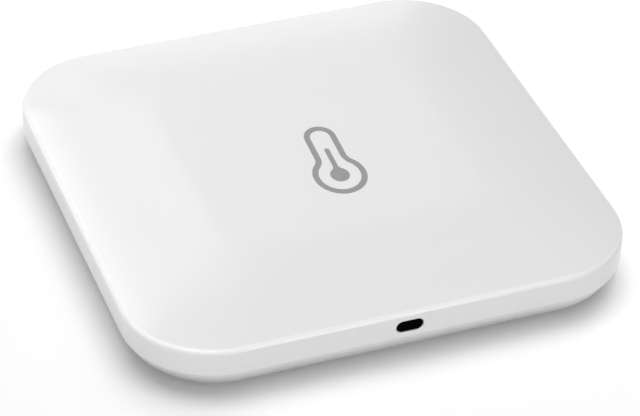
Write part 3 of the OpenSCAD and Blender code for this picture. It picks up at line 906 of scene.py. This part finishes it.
def seen(tree):
    """Socket that is 1 for what the camera sees directly, mirrored or through glass."""
    path = tree.nodes.new("ShaderNodeLightPath")
    value = path.outputs["Is Camera Ray"]
    for ray in ("Is Glossy Ray", "Is Transmission Ray"):
        either = tree.nodes.new("ShaderNodeMath")
        either.operation = "MAXIMUM"
        tree.links.new(value, either.inputs[0])
        tree.links.new(path.outputs[ray], either.inputs[1])
        value = either.outputs[0]
    return value


def floor_white():
    """White floor that keeps the shadow, and lets its underside be looked through."""
    material = bpy.data.materials.new("floor_white")
    material.use_nodes = True
    tree = material.node_tree
    tree.nodes.remove(tree.nodes["Principled BSDF"])
    diffuse = tree.nodes.new("ShaderNodeBsdfDiffuse")
    diffuse.inputs["Color"].default_value = (*grey(FLOOR_WHITE), 1)
    glow = tree.nodes.new("ShaderNodeEmission")
    strength = tree.nodes.new("ShaderNodeMath")
    strength.operation = "MULTIPLY"
    strength.inputs[1].default_value = FLOOR_GLOW
    add = tree.nodes.new("ShaderNodeAddShader")
    side = tree.nodes.new("ShaderNodeNewGeometry")
    clear = tree.nodes.new("ShaderNodeBsdfTransparent")
    mix = tree.nodes.new("ShaderNodeMixShader")
    for start, end in (
        (seen(tree), strength.inputs[0]),
        (strength.outputs[0], glow.inputs["Strength"]),
        (diffuse.outputs[0], add.inputs[0]),
        (glow.outputs[0], add.inputs[1]),
        (side.outputs["Backfacing"], mix.inputs[0]),
        (add.outputs[0], mix.inputs[1]),
        (clear.outputs[0], mix.inputs[2]),
        (mix.outputs[0], tree.nodes["Material Output"].inputs["Surface"]),
    ):
        tree.links.new(start, end)
    return material


def add_floor():
    """Wide floor with an opening under the part."""
    bm = bmesh.new()
    loft(bm, [
        [Vector((x, y, 0)) for x, y in rounded_rectangle(half, half, OPENING_CORNER, CORNER_STEPS)]
        for half in (FLOOR_HALF, FLOOR_OPENING)
    ], capped=False)
    mesh = bpy.data.meshes.new("floor")
    bm.to_mesh(mesh)
    bm.free()
    floor = new_object("floor", mesh)
    dress(floor, floor_white())
    return floor


def add_world():
    """Even light from above and, through the floor's opening, from below; white where seen."""
    world = bpy.data.worlds.new("studio")
    bpy.context.scene.world = world
    world.use_nodes = True
    tree = world.node_tree
    way = tree.nodes.new("ShaderNodeSeparateXYZ")
    above = tree.nodes.new("ShaderNodeMath")
    above.operation = "GREATER_THAN"
    above.inputs[1].default_value = 0
    light = tree.nodes.new("ShaderNodeMapRange")
    light.inputs["To Min"].default_value = UNDER_LIGHT
    light.inputs["To Max"].default_value = WORLD_LIGHT
    strength = tree.nodes.new("ShaderNodeMapRange")
    strength.inputs["To Max"].default_value = 1
    background = tree.nodes["Background"]
    background.inputs["Color"].default_value = (1, 1, 1, 1)
    for start, end in (
        (tree.nodes.new("ShaderNodeTexCoord").outputs["Generated"], way.inputs[0]),
        (way.outputs["Z"], above.inputs[0]),
        (above.outputs[0], light.inputs["Value"]),
        (seen(tree), strength.inputs["Value"]),
        (light.outputs[0], strength.inputs["To Min"]),
        (strength.outputs[0], background.inputs["Strength"]),
    ):
        tree.links.new(start, end)


def softbox(name, azimuth, elevation, size, watts, receivers):
    """Square light that faces the part and lights a collection of objects."""
    turn, rise = math.radians(azimuth), math.radians(elevation)
    across = math.cos(rise)
    away = Vector((math.sin(turn) * across, -math.cos(turn) * across, math.sin(rise)))
    data = bpy.data.lights.new(name, "AREA")
    data.shape = "SQUARE"
    data.size = size
    data.energy = watts
    lamp = new_object(name, data)
    lamp.location = away * LIGHT_DISTANCE
    lamp.rotation_mode = "QUATERNION"
    lamp.rotation_quaternion = away.to_track_quat("Z", "Y")
    lamp.visible_camera = False
    lamp.light_linking.receiver_collection = receivers


def add_lights(floor):
    """Soft lights round the part, which light the part or its floor."""
    part = bpy.data.collections.new("lit_part")
    for obj in bpy.context.scene.objects:
        if obj.type == "MESH" and obj is not floor:
            part.objects.link(obj)
    ground = bpy.data.collections.new("lit_floor")
    ground.objects.link(floor)
    lit = {"part": part, "floor": ground}
    for name, (*setting, target) in LIGHTS.items():
        softbox(name, *setting, lit[target])


bpy.context.scene.view_settings.view_transform = "Standard"
add_camera()
dress_nodes()
add_pieces()
studio_floor = add_floor()
add_world()
add_lights(studio_floor)
